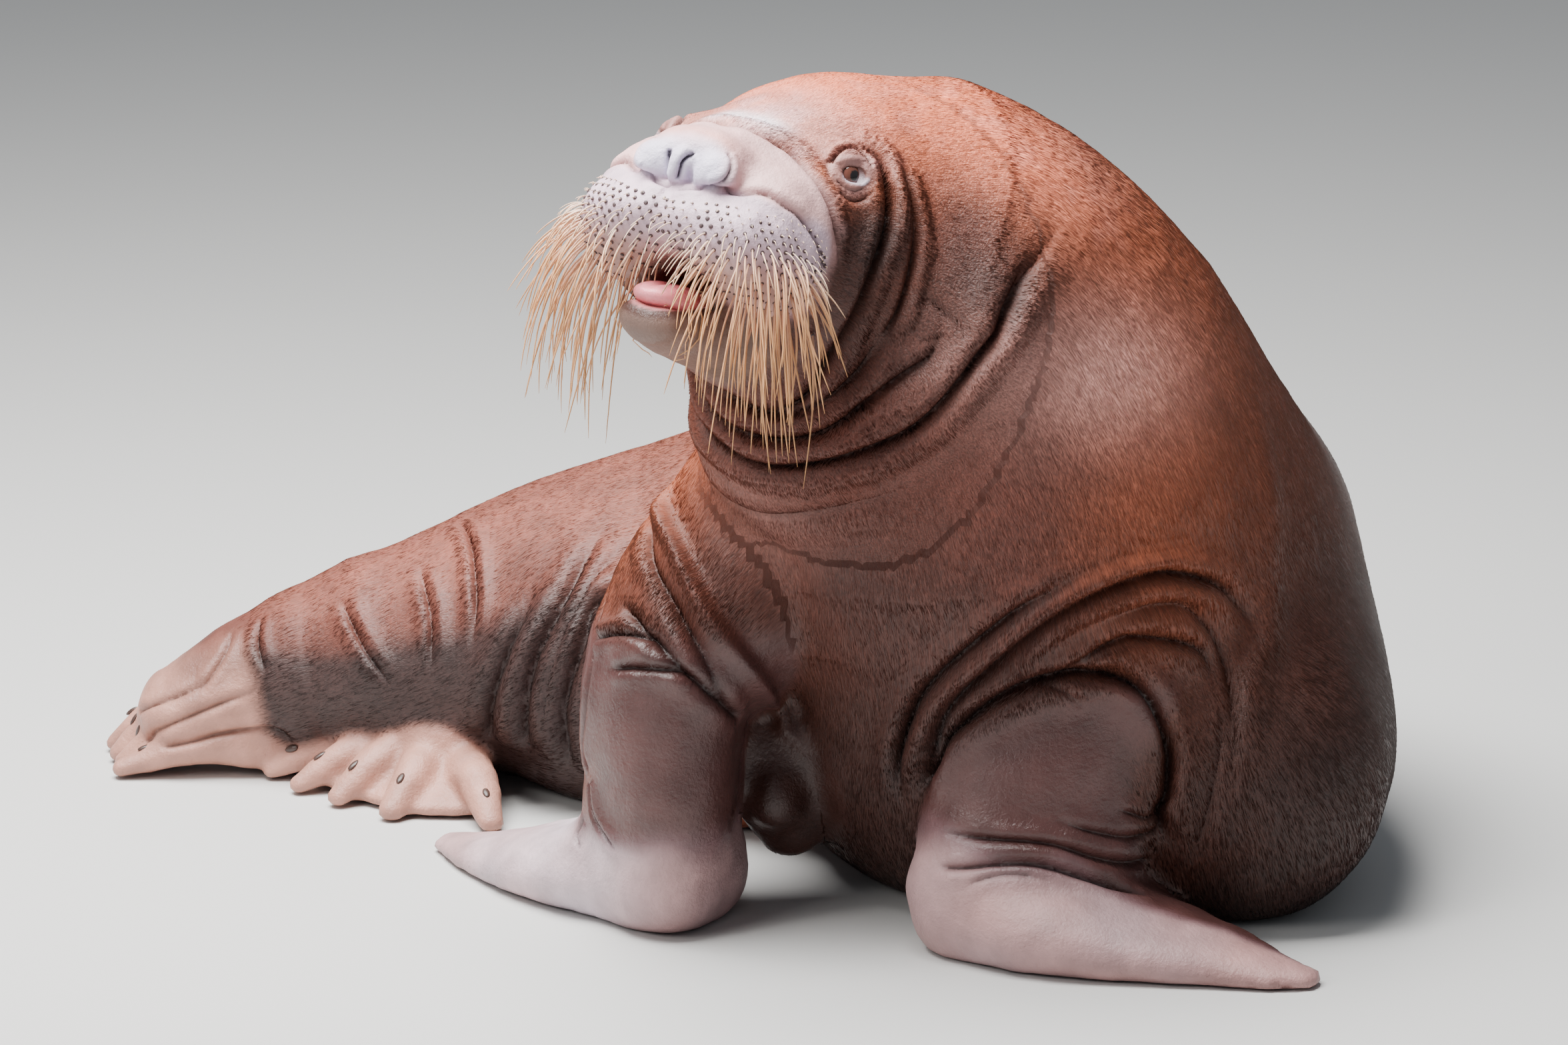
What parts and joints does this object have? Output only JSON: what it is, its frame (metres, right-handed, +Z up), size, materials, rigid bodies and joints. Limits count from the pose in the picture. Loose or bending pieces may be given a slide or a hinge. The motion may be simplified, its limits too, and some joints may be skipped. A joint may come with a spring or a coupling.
{
  "type": "walrus",
  "caption": "Life-size walrus sitting up on its foreflippers, head raised and mouth a little open, body curled round to one side with the hind flippers on the floor.",
  "frame": {"origin": "on the floor under the middle of the bounding box", "axes": "+Z up; the walrus faces -Y, its head turned a little to -X; +X is its left side, and its hind flippers lie towards -X"},
  "size_m": [1.7201, 1.4418, 1.0815],
  "materials": {
    "fur": "short dense fur",
    "flipper_skin": "dark glossy skin, paler and bare towards the sole",
    "bare_skin": "bare wrinkled skin",
    "muzzle_skin": "pale skin with bristles",
    "mouth": "moist",
    "eye": "glossy"
  },
  "bodies": {
    "root": {"head": "fur", "neck": "fur", "chest": "fur", "torso": "fur", "hips": "fur", "tail": "fur", "foreflipper_left": "flipper_skin", "foreflipper_right": "flipper_skin", "hind_flipper_left": "bare_skin", "hind_flipper_right": "bare_skin", "lower_jaw": "fur", "muzzle_left": "muzzle_skin", "muzzle_right": "muzzle_skin", "tongue": "mouth", "eye_left": "eye", "eye_right": "eye"}
  },
  "joints": []
}
